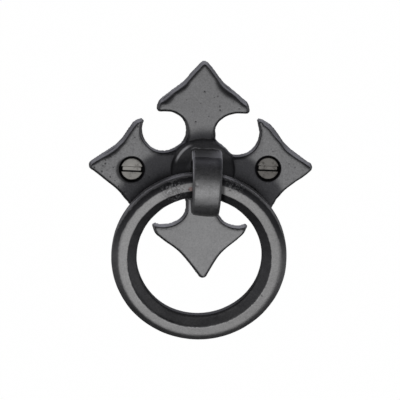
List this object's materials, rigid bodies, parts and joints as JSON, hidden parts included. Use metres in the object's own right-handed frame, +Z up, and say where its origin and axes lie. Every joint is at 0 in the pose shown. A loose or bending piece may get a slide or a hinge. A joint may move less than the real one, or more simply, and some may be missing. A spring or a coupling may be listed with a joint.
{
  "type": "ring pull",
  "caption": "Cast-iron ring pull: a cross-shaped backplate with spade tips, a domed boss, an eye and a closed ring that swings up and down, fixed by slotted countersunk screws.",
  "frame": {"origin": "on the backplate's back face, midway between the two screws", "axes": "+Y into the door, -Y towards the viewer, +Z up, +X right as seen from the front"},
  "size_m": [0.0567, 0.0336, 0.0711],
  "materials": {
    "casting": "satin black, lightly textured",
    "screws": "darkened steel, satin"
  },
  "bodies": {
    "plate": {"backplate": "casting", "ring_eye": "casting", "screw_left": "screws", "screw_right": "screws"},
    "ring": {"pull_ring": "casting"}
  },
  "joints": [
    {"name": "ring_swing", "type": "hinge", "parent": "plate", "child": "ring", "pos_m": [0.00134, -0.0098, -0.00335], "axis": [-0.9988, 0, 0.0488], "range_deg": [0, 200]}
  ]
}
